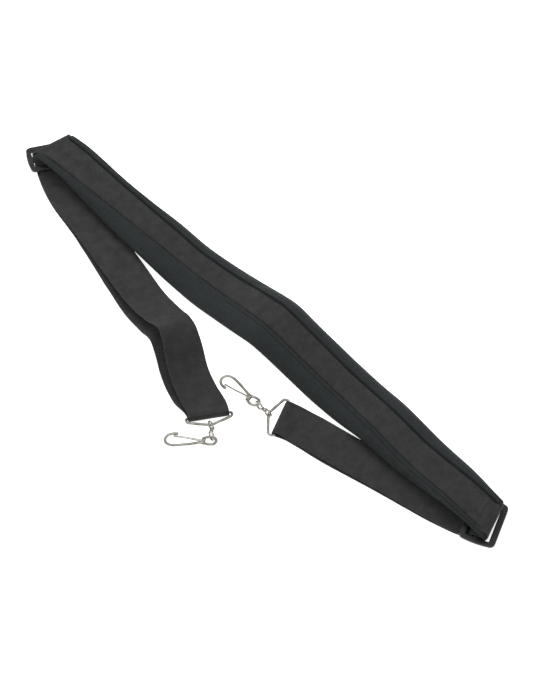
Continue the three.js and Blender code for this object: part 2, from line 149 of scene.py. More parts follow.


# Brushed tricot knit over foam: tiny even loops, blue-black, painted shade in the gaps between the loops, soft light at
# grazing angles.
def brushedTricot():
    look = coverLook
    made, tree = newMaterial("brushedTricotCover")
    place = addNode(tree, "TexCoord").outputs["Object"]
    loops = addNode(tree, "TexVoronoi", {"feature": "F1", "Scale": 1 / look["loopSize"], "Randomness": 0.45},
                    {"Vector": place}).outputs["Distance"]
    height = addNode(tree, "Math", {"operation": "SUBTRACT", 0: 1.0}, {1: loops})
    nap = addNode(tree, "TexNoise", {"Scale": 420.0, "Detail": 5.0, "Roughness": 0.7}, {"Vector": place}).outputs["Fac"]
    rough = addNode(tree, "Math", {"operation": "MULTIPLY_ADD", 1: 0.5}, {0: nap, 2: height.outputs[0]})
    patches = addNode(tree, "TexNoise", {"Scale": 14.0, "Detail": 4.0}, {"Vector": place}).outputs["Fac"]
    blend = addNode(tree, "Math", {"operation": "MULTIPLY_ADD", 1: 0.5}, {0: patches, 2: rough.outputs[0]})
    # Colour runs from painted shade in the gaps between loops up to the loops' face, mixed with random nap and patches
    tone = addNode(tree, "ValToRGB", {}, {"Fac": blend.outputs[0]})
    tone.color_ramp.elements[0].position = 0.55
    tone.color_ramp.elements[0].color = linear(look["loopGapShade"])
    tone.color_ramp.elements[1].position = 1.0
    tone.color_ramp.elements[1].color = linear(look["face"])
    finishMaterial(
        tree,
        {"Roughness": 0.92, "Sheen Weight": 0.22, "Sheen Roughness": 0.45, "Sheen Tint": linear("#8a8f91"),
         "Specular IOR Level": 0.15},
        {"Base Color": tone.outputs["Color"]},
        rough.outputs[0], look["loopDepth"])
    return made


# Bonded polyester thread: round, slightly shiny, darker than the cloth it sits in.
def bondedThread(name, hexColour):
    made, tree = newMaterial(name)
    place = addNode(tree, "TexCoord").outputs["Object"]
    twist = addNode(tree, "TexNoise", {"Scale": 2500.0, "Detail": 2.0}, {"Vector": place}).outputs["Fac"]
    tone = addNode(tree, "ValToRGB", {}, {"Fac": twist})
    tone.color_ramp.elements[0].color = linear("#0c0c0d")
    tone.color_ramp.elements[1].color = linear(hexColour)
    finishMaterial(tree, {"Roughness": 0.5}, {"Base Color": tone.outputs["Color"]}, twist, 0.05 * mm)
    return made


# Injection-moulded acetal with a fine spark-eroded grain: charcoal, satin, with scattered scuffs.
def mouldedAcetal():
    made, tree = newMaterial("mouldedAcetal")
    place = addNode(tree, "TexCoord").outputs["Object"]
    grain = addNode(tree, "TexNoise", {"Scale": 1600.0, "Detail": 4.0, "Roughness": 0.6},
                    {"Vector": place}).outputs["Fac"]
    scuff = addNode(tree, "TexNoise", {"Scale": 240.0, "Detail": 6.0, "Roughness": 0.75},
                    {"Vector": place}).outputs["Fac"]
    tone = addNode(tree, "ValToRGB", {}, {"Fac": scuff})
    tone.color_ramp.elements[0].position = 0.35
    tone.color_ramp.elements[0].color = linear("#1a1a1a")
    tone.color_ramp.elements[1].position = 0.7
    tone.color_ramp.elements[1].color = linear("#2b2b2a")
    gloss = addNode(tree, "MapRange", {"To Min": 0.32, "To Max": 0.55}, {"Value": scuff})
    finishMaterial(
        tree, {"IOR": 1.48}, {"Base Color": tone.outputs["Color"], "Roughness": gloss.outputs[0]}, grain, 0.03 * mm)
    return made


# Nickel-plated steel wire: bright and slightly warm, hazed by fine scratches and drawn lines.
def nickelPlate(name, haze):
    made, tree = newMaterial(name)
    place = addNode(tree, "TexCoord").outputs["Object"]
    scratch = addNode(tree, "TexNoise", {"Scale": 700.0, "Detail": 6.0, "Roughness": 0.7},
                      {"Vector": place}).outputs["Fac"]
    stain = addNode(tree, "TexNoise", {"Scale": 160.0, "Detail": 3.0}, {"Vector": place}).outputs["Fac"]
    gloss = addNode(tree, "MapRange", {"To Min": haze, "To Max": haze + 0.1}, {"Value": scratch})
    tone = addNode(tree, "ValToRGB", {}, {"Fac": stain})
    tone.color_ramp.elements[0].position = 0.3
    tone.color_ramp.elements[0].color = linear("#98968f")
    tone.color_ramp.elements[1].position = 0.65
    tone.color_ramp.elements[1].color = linear("#d0cec7")
    finishMaterial(tree, {"Metallic": 1.0}, {"Base Color": tone.outputs["Color"], "Roughness": gloss.outputs[0]},
                   scratch, 0.02 * mm)
    return made


materials = {
    "webbing": wovenPolypropylene(),
    "cover": brushedTricot(),
    "thread": bondedThread("bondedPolyesterThread", "#141415"),
    "fluff": bondedThread("cutThreadEnds", "#60605e"),
    "plastic": mouldedAcetal(),
    "nickel": nickelPlate("nickelPlatedWire", 0.05),
    "gate": nickelPlate("platedSpringStrip", 0.12),
}
print("materials made")


# Pieces from meshes

def addPiece(name, bm, material, body="strap", replaced=()):
    mesh = bpy.data.meshes.new(name)
    bm.to_mesh(mesh)
    bm.free()
    mesh.materials.append(materials[material])
    mesh.shade_smooth()
    made = bpy.data.objects.new(name, mesh)
    bpy.context.scene.collection.objects.link(made)
    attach(made, body)
    if replaced:
        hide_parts(*replaced)
    return made


def giveThickness(made, thick, offset):
    solid = made.modifiers.new("thickness", "SOLIDIFY")
    solid.thickness = thick
    solid.offset = offset


# Rounds the edges that are sharper than an angle in degrees.
def roundEdges(made, width, segments, angle):
    edge = made.modifiers.new("edges", "BEVEL")
    edge.width = width
    edge.segments = segments
    edge.limit_method = "ANGLE"
    edge.angle_limit = math.radians(angle)
    return edge


def mergedCopy(node):
    bm = bmesh.new()
    bm.from_mesh(frame["nodes"][node].data)
    bmesh.ops.remove_doubles(bm, verts=bm.verts, dist=0.003 * mm)
    bm.normal_update()
    return bm


# The sections of a lofted solid, in order from one end, each a list of points.
def sectionsFrom(first):
    rows = [set(first)]
    seen = set(first)
    while rows[-1]:
        following = {edge.other_vert(vert) for vert in rows[-1] for edge in vert.link_edges} - seen
        seen |= following
        rows.append(following)
    return [[vert.co.copy() for vert in sorted(row, key=lambda v: v.index)] for row in rows[:-1]]


# Rows of numbers made denser along their first three, a place, as a smooth curve through every row.
def smoothRows(rows, spacing, leastParts=2):
    rows = np.array(rows, float)
    steps = np.linalg.norm(np.diff(rows[:, :3], axis=0), axis=1)
    at = np.concatenate([[0], np.cumsum(steps)])
    slopes = np.gradient(rows, at, axis=0)
    dense = []
    where = []
    for i, step in enumerate(steps):
        parts = max(leastParts, math.ceil(step / spacing))
        last = i == len(steps) - 1
        for t in np.linspace(0, 1, parts + 1)[:None if last else -1]:
            a = 2 * t ** 3 - 3 * t ** 2 + 1
            b = t ** 3 - 2 * t ** 2 + t
            c = 3 * t ** 2 - 2 * t ** 3
            d = t ** 3 - t ** 2
            dense.append(a * rows[i] + b * step * slopes[i] + c * rows[i + 1] + d * step * slopes[i + 1])
            where.append(at[i] + t * step)
    return np.array(dense), np.array(where)


# A grid of quads whose point (i, j) is where place(i, j) says. i runs across, j along.
def sweptGrid(across, along, place, around=False):
    bm = bmesh.new()
    bmesh.ops.create_grid(bm, x_segments=across, y_segments=along, size=1.0)
    uvLayer = bm.loops.layers.uv.new("tape")
    for vert in bm.verts:
        i = round((vert.co.x + 1) / 2 * across)
        j = round((vert.co.y + 1) / 2 * along)
        vert.co, u, v = place(i, j)
        for loop in vert.link_loops:
            loop[uvLayer].uv = (u, v)
    if around:
        bmesh.ops.remove_doubles(bm, verts=bm.verts, dist=0.001 * mm)
        bmesh.ops.holes_fill(bm, edges=[edge for edge in bm.edges if edge.is_boundary])
    return bm


# Webbing

tape = {
    "width": 38 * mm,
    "thick": 1.6 * mm,
    "slack": 0.1 * mm,       # how much thinner the woven piece is, to stay clear of its neighbours
    "spacing": 2.5 * mm,
    "columns": 18,
    "bandColumns": 30,
    "edgeRound": 0.45 * mm,
    "edgeWave": 0.16 * mm,
    "swell": 0.14 * mm,
}


# A tape's sections as rows of middle and sideways direction, from one end of its CAD solid.
def tapeRows(node):
    bm = mergedCopy(node)

    def isEnd(face):
        short, middle, long = sorted(edge.calc_length() for edge in face.edges)
        return abs(short - tape["thick"]) < 0.02 * mm and abs(middle - tape["width"]) < 0.02 * mm

    end = next(face for face in bm.faces if isEnd(face))
    diagonal = max(end.edges, key=lambda edge: edge.calc_length())
    first = {vert for face in diagonal.link_faces for vert in face.verts}
    rows = []
    before = None
    for points in sectionsFrom(first):
        partner = min(points[1:], key=lambda p: (p - points[0]).length)
        left = (points[0] + partner) / 2
        right = sum((p for p in points[1:] if p is not partner), Vector()) / 2
        if before and (left - before).length > (right - before).length:
            left, right = right, left
        before = left
        rows.append([*((left + right) / 2), *(right - left).normalized()])
    bm.free()
    return rows


# Sideways place across the tape, from -1 to 1, closer together at its edges.
def acrossAt(i, columns):
    return math.sin(math.pi / 2 * (2 * i / columns - 1) * 0.92) / math.sin(math.pi / 2 * 0.92)


# offset(middle, y) says how far the tape is pushed along its normal there, y being the place across it
# towards +Y.
def webbing(name, node, columns, offset=None):
    rows, where = smoothRows(tapeRows(node), tape["spacing"])
    middles = [Vector(row[:3]) for row in rows]
    sides = [Vector(row[3:6]).normalized() for row in rows]
    centre = len(middles) // 2
    flip = 1 if (middles[centre + 1] - middles[centre - 1]).cross(sides[centre]).z > 0 else -1

    def place(i, j):
        ahead = middles[min(j + 1, len(middles) - 1)] - middles[max(j - 1, 0)]
        side = sides[j]
        normal = ahead.cross(side).normalized() * flip
        a = acrossAt(i, columns)
        wave = noise.noise(Vector((where[j] * 60, a * 3, len(name)))) * tape["edgeWave"] * a
        push = noise.noise(Vector((where[j] * 30, a * 1.5, len(name) + 5))) * tape["swell"]
        if offset:
            push += offset(middles[j], a * tape["width"] / 2 * math.copysign(1, side.y))
        point = middles[j] + side * (a * tape["width"] / 2 + wave) + normal * push
        point.z = max(point.z, tape["thick"] / 2)
        return point, (a + 1) * tape["width"] / 2, where[j]

    bm = sweptGrid(columns, len(middles) - 1, place)
    made = addPiece(name, bm, "webbing", replaced=[node])
    giveThickness(made, tape["thick"] - tape["slack"], 0)
    roundEdges(made, tape["edgeRound"], 2, 60)
    return made


webbing("leftLoopWebbing", "left_strap", tape["columns"])
webbing("rightLoopWebbing", "right_strap", tape["columns"])
print("loops made")


# The padded shoulder section

pad = {
    "spacing": 2.6 * mm,
    "bandHalf": [15, 12.5, 10.5, 13, 12, 13, 14.5],    # mm, from the left end to the right
    "bandDrift": [-1, 1, 1.5, 1.5, 1, -1.5, -2],       # mm, towards +Y
    "farLip": 1.6 * mm,        # height of the cover's roll beside the webbing
    "nearLip": 0.4 * mm,
    "grooveWidth": 0.9 * mm,
    "seamDepth": 2.4 * mm,
    "crown": 0.8 * mm,         # rise of the webbing between its two seams
    "tuck": 2.3 * mm,          # how far its margins go down under the cover
    "secondSeam": 5.3 * mm,    # a second row of stitches outside the near groove
    "secondDip": 1.6 * mm,
    "secondFrom": 60 * mm,     # where its dip starts, before the pad's middle
    "secondFade": (20 * mm, 15 * mm),
    "under": 3.4 * mm,         # how deep the cover lies under the webbing
    "foamThick": 13 * mm,
    "cornerFrom": 0.86,        # share of the half length where the right end's near corner starts to droop
    "cornerDroop": 2.6 * mm,
    "cornerSpread": 1.0 * mm,
    "reachFrom": 0.93,         # share of the half length past which the ends are stretched and spread
    "endReach": 3.4 * mm,      # how far the cover goes on past the foam at each end
    "endTaper": 7 * mm,
    "endThick": 0.62,          # share of the thickness that is left at the very end
    "edgeWave": 0.9 * mm,
    "unevenness": 0.35 * mm,
    "simulationShrink": 0.8 * mm,
}

# Creases in cover and webbing: two ends seen from above (mm along the pad from its middle, mm across it
# from its centre line), half width and depth.
creases = [
    {"from": (-9, 6), "to": (1, -17), "width": 2.4 * mm, "depth": 0.7 * mm},
    {"from": (3, 15), "to": (10, -8), "width": 1.8 * mm, "depth": 0.45 * mm},
    {"from": (16, 4), "to": (13, -15), "width": 2.0 * mm, "depth": 0.5 * mm},
    {"from": (-18, -33), "to": (-12, -24), "width": 2.2 * mm, "depth": 1.2 * mm},
    {"from": (12, -17), "to": (24, -31), "width": 2.6 * mm, "depth": 0.8 * mm},
    {"from": (-38, 20), "to": (-20, 31), "width": 2.8 * mm, "depth": 0.8 * mm},
    {"from": (8, 20), "to": (2, 33), "width": 2.6 * mm, "depth": 0.9 * mm},
    {"from": (268, -20), "to": (289, -8), "width": 1.4 * mm, "depth": 1.6 * mm},
    {"from": (289, -8), "to": (287, -22), "width": 1.2 * mm, "depth": 1.5 * mm},
    {"from": (-288, -17), "to": (-262, -14), "width": 1.8 * mm, "depth": 0.9 * mm},
]


def creaseAt(along, y):
    depth = 0
    here = Vector((along, y))
    for crease in creases:
        start = Vector(crease["from"]) * mm
        way = Vector(crease["to"]) * mm - start
        t = min(1, max(0, (here - start).dot(way) / way.length_squared))
        far = (here - start - way * t).length / crease["width"]
        depth += crease["depth"] * math.exp(-far * far) * (1 - abs(2 * t - 1) ** 3 * 0.6)
    return depth


def padSections():
    bm = mergedCopy("shoulder_pad")
    low = min(vert.co.x for vert in bm.verts)
    first = set()
    for face in bm.faces:
        if abs(face.normal.x) > 0.9 and face.calc_center_median().x < low + 10 * mm:
            first |= set(face.verts)
    rows = []
    for points in sectionsFrom(first):
        near = min(points, key=lambda p: p.y)
        far = max(points, key=lambda p: p.y)
        across = (far - near).to_2d()
        half = across.length / 2
        across.normalize()
        middle = (near + far).to_2d() / 2
        lift = min(p.z for p in points)
        lips = sorted(points, key=lambda p: p.z)[-2:]
        shift = sum((p.to_2d() - middle).dot(across) for p in lips) / 2
        rows.append([*middle, 0, *across, 0, half, lift, lips[0].z - lift + 0.2 * mm, shift])
    bm.free()
    return rows


padTable, padWhere = smoothRows(padSections(), pad["spacing"])
padLength = padWhere[-1]
padMiddle = padLength / 2


def alongTable(values, distance):
    share = min(1, max(0, distance / padLength))
    return float(np.interp(share, np.linspace(0, 1, len(values)), values)) * mm


# Half width of the webbing that shows, and how far its middle has drifted on the tape.
def bandAt(distance):
    return alongTable(pad["bandHalf"], distance), alongTable(pad["bandDrift"], distance)


def padRowAt(distance):
    return [float(np.interp(distance, padWhere, padTable[:, k])) for k in range(padTable.shape[1])]


def secondSeamShare(distance):
    start = padMiddle - pad["secondFrom"]
    fadeIn, fadeOut = pad["secondFade"]
    return min(1, max(0, (distance - start) / fadeIn)) * min(1, max(0, (padLength - distance) / fadeOut))


# One half of the pad's section from under its middle up to the seam and down into it: y outwards, z up.
# Each entry is y, z, how many parts lead to it and how firmly it is held while the foam swells.
def halfSection(half, thick, seam, rise, dip):
    rim = half - pad["simulationShrink"]
    k = thick / pad["foamThick"]
    second = seam + pad["secondSeam"]
    shoulder = max(second + 2 * mm, (rim + second) / 2)
    return [
        (0, 0, 0, 1.0),
        (rim * 0.45, 0, 3, 0.9),
        (rim - 5 * mm, 0.15 * mm, 3, 0.5),
        (rim - 1.3 * mm, 1.5 * mm, 3, 0),
        (rim, 3.9 * mm * k, 2, 0),
        (rim - 0.9 * mm, 6.4 * mm * k, 2, 0),
        (shoulder, thick * 0.84, 3, 0),
        (second + 1.1 * mm, thick + rise * 0.2, 3, 0.3),
        (second, thick + rise * 0.3 - dip, 1, 0.6),
        (second - 1.1 * mm, thick + rise * 0.5, 1, 0.3),
        (seam + 3.2 * mm, thick + rise * 0.8, 1, 0.1),
        (seam + pad["grooveWidth"] + 0.9 * mm, thick + rise, 2, 0.3),
        (seam + pad["grooveWidth"], thick + rise * 0.35, 1, 1.0),
        (seam + pad["grooveWidth"] * 0.4, thick - pad["seamDepth"], 1, 1.0),
        (seam * 0.5, thick - pad["under"], 2, 1.0),
    ]


def padSection(row, distance):
    half, _, thick, shift = row[6:10]
    band, drift = bandAt(distance)
    dip = pad["secondDip"] * secondSeamShare(distance)
    near = halfSection(half, thick, band - shift - drift, pad["nearLip"], dip)
    far = halfSection(half, thick, band + shift + drift, pad["farLip"], 0)

    def filled(entries, way):
        points = []
        for (y0, z0, _, h0), (y1, z1, parts, h1) in zip(entries, entries[1:]):
            for t in np.arange(parts) / parts:
                points.append((way * (y0 + (y1 - y0) * t), z0 + (z1 - z0) * t, h0 + (h1 - h0) * t))
        return points

    return filled(near, -1) + [(0, thick - pad["under"], 1.0)] + filled(far, 1)[:0:-1]


def padCover():
    sections = [padSection(row, distance) for row, distance in zip(padTable, padWhere)]
    around = len(sections[0])
    held = {}

    def place(i, j):
        row = padTable[j]
        y, z, hold = sections[j][i % around]
        fromEnd = min(padWhere[j], padLength - padWhere[j]) / pad["endTaper"]
        thin = pad["endThick"]
        taper = 1 if fromEnd >= 1 else thin + (1 - thin) * math.sqrt(1 - (1 - fromEnd) ** 2)
        wave = noise.noise(Vector((row[0] * 22, y * 15, 3))) * pad["edgeWave"] * abs(y) / row[6]
        if z > row[8] * 0.5:
            z -= creaseAt(padWhere[j] - padMiddle, y)
            z += noise.noise(Vector((padWhere[j] * 70, y * 90, 11))) * pad["unevenness"]
        point = Vector(row[:3]) + Vector(row[3:6]) * (y + wave)
        run = (padWhere[j] - padMiddle) / padMiddle
        last = 1 - pad["reachFrom"]
        point.x += pad["endReach"] * math.copysign(max(0, abs(run) - pad["reachFrom"]) / last, run)
        point.z = row[7] + row[8] * 0.5 * (1 - taper) + z * taper
        corner = max(0, run - pad["cornerFrom"]) / (1 - pad["cornerFrom"]) * max(0, -y / row[6] - 0.3) / 0.7
        point.z -= pad["cornerDroop"] * corner
        point += Vector(row[3:6]) * y / row[6] * pad["cornerSpread"] * max(0, run - pad["reachFrom"]) / last
        held[(round(point.x, 7), round(point.y, 7), round(point.z, 7))] = hold
        return point, y, padWhere[j]

    bm = sweptGrid(around, len(padTable) - 1, place, around=True)
    bmesh.ops.recalc_face_normals(bm, faces=bm.faces)
    made = addPiece("padCover", bm, "cover", replaced=["shoulder_pad"])
    group = made.vertex_groups.new(name="held")
    for vert in made.data.vertices:
        key = tuple(round(c, 7) for c in vert.co)
        group.add([vert.index], held.get(key, 1.0), "REPLACE")
    return made


foam = {
    "fill": 0.6,
    "frames": 20,
    "quality": 6,
    "mass": 0.15,
    "stretch": 8,
    "shear": 4,
    "bend": 0.6,
    "hold": 1.5,
    "pressure": 4.0,
    "mostSwell": 2.0 * mm,
}


# Swells the cover with a cloth simulation on a copy and moves its points there, none further than mostSwell.
def swellFoam(made):
    work = made.copy()
    work.data = made.data.copy()
    work.parent = None
    bpy.context.scene.collection.objects.link(work)
    cloth = work.modifiers.new("Cloth", "CLOTH")
    settings = cloth.settings
    settings.quality = foam["quality"]
    settings.mass = foam["mass"]
    settings.tension_stiffness = foam["stretch"]
    settings.compression_stiffness = foam["stretch"]
    settings.shear_stiffness = foam["shear"]
    settings.bending_stiffness = foam["bend"]
    settings.use_pressure = True
    settings.uniform_pressure_force = foam["pressure"]
    settings.vertex_group_mass = "held"
    settings.pin_stiffness = foam["hold"]
    settings.effector_weights.gravity = 0
    cloth.point_cache.frame_start = 1
    cloth.point_cache.frame_end = foam["frames"]
    for step in range(1, foam["frames"] + 1):
        bpy.context.scene.frame_set(step)
    swollen = work.evaluated_get(bpy.context.evaluated_depsgraph_get()).to_mesh()
    for vert, moved in zip(made.data.vertices, swollen.vertices):
        push = moved.co - vert.co
        if push.length > foam["mostSwell"]:
            push *= foam["mostSwell"] / push.length
        vert.co += push
    bpy.data.objects.remove(work)
    bpy.context.scene.frame_set(1)


cover = padCover()
swellFoam(cover)
print("foam swollen")
for vert in cover.data.vertices:
    vert.co.z = max(vert.co.z, 0.1 * mm)
fine = cover.modifiers.new("fine", "SUBSURF")
fine.levels = 1
fine.render_levels = 1


# Distance along the pad of a point beside it, from the pad's left end.
def padDistance(point):
    return float(np.interp(point.x, padTable[:, 0], padWhere))


# The webbing sewn along the pad goes down under the cover at its two seams and crowns between them.
def padBandOffset(middle, y):
    if not padTable[0, 0] < middle.x < padTable[-1, 0]:
        return 0
    distance = padDistance(middle)
    band, drift = bandAt(distance)
    inward = min(1, min(distance, padLength - distance) / (6 * mm))
    out = (abs(y - drift) - band + 0.8 * mm) / (1.3 * mm)
    sink = pad["tuck"] * min(1, max(0, out)) ** 2
    crown = pad["crown"] * max(0, 1 - ((y - drift) / band) ** 2)
    pucker = noise.noise(Vector((distance * 260, math.copysign(3, y), 1))) * 0.25 * mm * max(0, 1 - abs(out - 0.3))
    return inward * (crown - sink + pucker - creaseAt(distance - padMiddle, y))


band = webbing("padBandWebbing", "pad_webbing", tape["bandColumns"], padBandOffset)
print("pad made")


# Stitches: each a small capsule of thread lying on what it sews

stitches = {
    "pitch": 3.6 * mm,
    "length": 2.7 * mm,
    "width": 0.55 * mm,
    "sink": 0.12 * mm,
    "sway": 0.3 * mm,
    "fromEdge": 0.2 * mm,             # the seams run this far inside the webbing's edges that show
    "ends": (8 * mm, 10 * mm),        # what the seams leave free at the pad's left and right end
    "secondEnds": (55 * mm, 14 * mm), # the second row: from before the middle to before the right end
    "tackWidth": 0.5 * mm,
    "cornerTacks": (26 * mm, 47 * mm),
    "cornerTack": {"low": -4 * mm, "high": 1 * mm, "reach": 1.6 * mm, "count": 5},
    "endTackFrom": 14 * mm,
    "endTack": {"low": -11 * mm, "high": 12 * mm, "reach": 2.4 * mm, "count": 13},
}


def surfaceOf(piece):
    return BVHTree.FromObject(piece, bpy.context.evaluated_depsgraph_get())


def padPoint(distance, y, surface):
    row = padRowAt(distance)
    point = Vector(row[:3]) + Vector(row[3:6]).normalized() * y
    hit = surface.ray_cast(Vector((point.x, point.y, 0.1)), -up)[0]
    return hit


def addStitch(bm, start, end, width):
    way = end - start
    turn = way.to_track_quat("X", "Z").to_matrix().to_4x4()
    size = Matrix.Diagonal((way.length / 2, width / 2, width * 0.36, 1))
    middle = Matrix.Translation((start + end) / 2 - up * stitches["sink"])
    bmesh.ops.create_uvsphere(bm, u_segments=6, v_segments=4, radius=1, matrix=middle @ turn @ size)


# A row of stitches along the pad between two distances, at the place across it that yAt gives.
def stitchRow(bm, surface, first, last, yAt):
    count = int((last - first) / stitches["pitch"])
    for k in range(count):
        at = first + k * stitches["pitch"]
        sway = noise.noise(Vector((at * 40, 7, 2))) * stitches["sway"]
        start = padPoint(at, yAt(at) + sway, surface)
        end = padPoint(at + stitches["length"], yAt(at) + sway, surface)
        if start and end:
            addStitch(bm, start, end, stitches["width"])


# Short stitches to and fro between two rows across the tape, as a bar tack.
def barTack(bm, surface, distance, tack):
    reach, low, wide, count = tack["reach"], tack["low"], tack["high"] - tack["low"], tack["count"]
    ends = [padPoint(distance + (reach if k % 2 else -reach), low + wide * k / count, surface)
            for k in range(count + 1)]
    for start, end in zip(ends, ends[1:]):
        if start and end:
            addStitch(bm, start, end, stitches["tackWidth"])


bandSurface = surfaceOf(band)
coverSurface = surfaceOf(cover)
seams = bmesh.new()
for way in (-1, 1):
    stitchRow(seams, bandSurface, stitches["ends"][0], padLength - stitches["ends"][1],
              lambda at: padRowAt(at)[9] + bandAt(at)[1] + way * (bandAt(at)[0] - stitches["fromEdge"]))
stitchRow(seams, coverSurface, padMiddle - stitches["secondEnds"][0], padLength - stitches["secondEnds"][1],
          lambda at: padRowAt(at)[9] + bandAt(at)[1] - bandAt(at)[0] - pad["secondSeam"])
for corner in stitches["cornerTacks"]:
    barTack(seams, bandSurface, corner, stitches["cornerTack"])
addPiece("seamStitches", seams, "thread")

tacks = bmesh.new()
barTack(tacks, bandSurface, padLength - stitches["endTackFrom"], stitches["endTack"])
tail = padPoint(7 * mm, -14 * mm, coverSurface)   # a loose thread end at the left corner
addStitch(tacks, tail, tail + Vector((0.6, 1.4, 0.7)) * mm, 0.7 * mm)
addPiece("barTackStitches", tacks, "fluff")
print("stitches made")


# Metal wires: a copy of the CAD wire made round

wires = {
    "ringRadius": 1.4 * mm,
    "hookRadius": 1.45 * mm,
    "limitShare": 0.2,   # how much a six-sided tube shrinks when it is subdivided
}


def roundWire(name, node, body, radius):
    bm = mergedCopy(node)
    for vert in bm.verts:
        vert.co += vert.normal * radius * wires["limitShare"]
    bmesh.ops.join_triangles(
        bm, faces=bm.faces, angle_face_threshold=math.radians(50), angle_shape_threshold=math.radians(60))
    made = addPiece(name, bm, "nickel", body=body, replaced=[node])
    rounding = made.modifiers.new("round", "SUBSURF")
    rounding.levels = 2
    rounding.render_levels = 2


for side in ("left", "right"):
    roundWire(side + "RingWire", side + "_ring", "strap", wires["ringRadius"])
    roundWire(side + "HookWire", side + "_hook", side + "_snap", wires["hookRadius"])
print("wires made")


# Swivels: a wire eye and its collar, twice, joined by a riveted pin

swivel = {
    "eyeRadius": 4.3 * mm,
    "wire": 1.0 * mm,
    "spacing": 11.6 * mm,
    "leftRoll": 30,     # degrees about the swivel's own axis
    "rightRoll": 0,
    # Places along the swivel from the first eye's centre, and radii, in mm.
    "barrel": [(3.5, 1.15), (3.7, 1.55), (4.1, 1.75), (4.5, 2.0), (5.25, 2.0), (5.55, 1.85), (5.65, 1.6),
               (5.65, 1.05), (4.9, 1.0), (3.9, 1.0)],
    "pin": [(1.72, 0), (1.76, 0.55), (1.95, 1.05), (2.25, 1.33), (2.55, 1.3), (2.68, 1.1), (2.7, 0.7),
            (6.0, 0.7), (5.95, 1.6), (6.05, 1.85), (6.35, 2.0), (7.1, 2.0), (7.5, 1.75), (7.9, 1.55),
            (8.1, 1.15), (8.1, 0)],
}


# Turns a profile of places and radii about an axis.
def turned(bm, profile, origin, along, closed):
    side = up.cross(along).normalized()
    verts = [bm.verts.new(origin + along * (x * mm) + side * (r * mm)) for x, r in profile]
    pairs = list(zip(verts, verts[1:])) + ([(verts[-1], verts[0])] if closed else [])
    edges = [bm.edges.new(pair) for pair in pairs]
    bmesh.ops.spin(bm, geom=verts + edges, cent=origin, axis=along, angle=2 * math.pi, steps=28, use_merge=True)
    bmesh.ops.remove_doubles(bm, verts=bm.verts, dist=0.004 * mm)


# A wire ring about its centre, square to normal, made by turning the wire's own round section.
def eyeRing(bm, centre, along, normal):
    turn = along.cross(normal).to_track_quat("Z", "Y").to_matrix().to_4x4()
    place = Matrix.Translation(centre + along * swivel["eyeRadius"]) @ turn
    ring = bmesh.ops.create_circle(bm, segments=12, radius=swivel["wire"], matrix=place)
    geom = ring["verts"] + list({edge for vert in ring["verts"] for edge in vert.link_edges})
    bmesh.ops.spin(bm, geom=geom, cent=centre, axis=normal, angle=2 * math.pi, steps=40, use_merge=True)


def swivelPiece(name, node, body, side, centreShare, profile, closed):
    joint = joints[side + "_swivel_turn"]
    origin = Vector(joint["pos_m"])
    along = Vector(joint["axis"]).normalized()
    bm = bmesh.new()
    normal = Matrix.Rotation(math.radians(swivel[side + "Roll"]), 3, along) @ up.cross(along)
    eyeRing(bm, origin + along * swivel["spacing"] * centreShare, along, normal)
    turned(bm, profile, origin, along, closed)
    bmesh.ops.recalc_face_normals(bm, faces=bm.faces)
    addPiece(name, bm, "nickel", body=body, replaced=[node])


for side in ("left", "right"):
    swivelPiece(side + "SwivelEye", side + "_swivel_eye", "strap", side, 0, swivel["barrel"], True)
    swivelPiece(side + "SwivelPin", side + "_swivel_pin", side + "_snap", side, 1, swivel["pin"], False)
print("swivels made")


# Gates: a strip of spring steel pressed into a shallow channel, narrower at its free end

gate = {
    "thick": 0.5 * mm,
    "lip": 0.75 * mm,       # how far the long edges are turned down
    "tipShare": 0.72,       # width of the free end over that of the root
    "tipLength": 2 * mm,
    "bow": 0.35 * mm,
    "edge": 0.12 * mm,
    "across": 10,
    "along": 24,
    "clampShift": -0.6 * mm,
    "clampReach": 4.3 * mm,
    "clampHeight": 1.7 * mm,
    "clampLength": 3.2 * mm,
    "clampEdge": 0.15 * mm,
}


def gateStrip(side):
    node = side + "_hook_gate"
    joint = joints[side + "_gate_open"]
    root = Vector(joint["pos_m"])
    width = Vector(joint["axis"]).normalized()
    corners = [vert.co.copy() for vert in frame["nodes"][node].data.vertices]
    far = max((point - root).length for point in corners) - gate["tipLength"]
    tips = [point for point in corners if (point - root).length > far]
    tip = sum(tips, Vector()) / len(tips)
    half = max(abs((point - root).dot(width)) for point in corners)
    along = tip - root
    out = along.cross(width).normalized()
    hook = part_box(side + "_hook")
    hookMiddle = (Vector(hook[0]) + Vector(hook[1])) / 2
    inside = 1 if out.dot(hookMiddle - (root + tip) / 2) > 0 else -1

    def place(i, j):
        a = 2 * i / gate["across"] - 1
        t = j / gate["along"]
        narrow = 1 - (1 - gate["tipShare"]) * t
        lip = gate["lip"] * max(0, (abs(a) - 0.55) / 0.45) ** 2
        push = inside * (lip - gate["lip"] * 0.5) - inside * gate["bow"] * math.sin(math.pi * t)
        return root + along * t + width * (a * half * narrow) + out * push, a, t

    bm = sweptGrid(gate["across"], gate["along"], place)
    made = addPiece(side + "GateStrip", bm, "gate", body=side + "_gate", replaced=[node])
    giveThickness(made, gate["thick"], 0)
    roundEdges(made, gate["edge"], 2, 50)


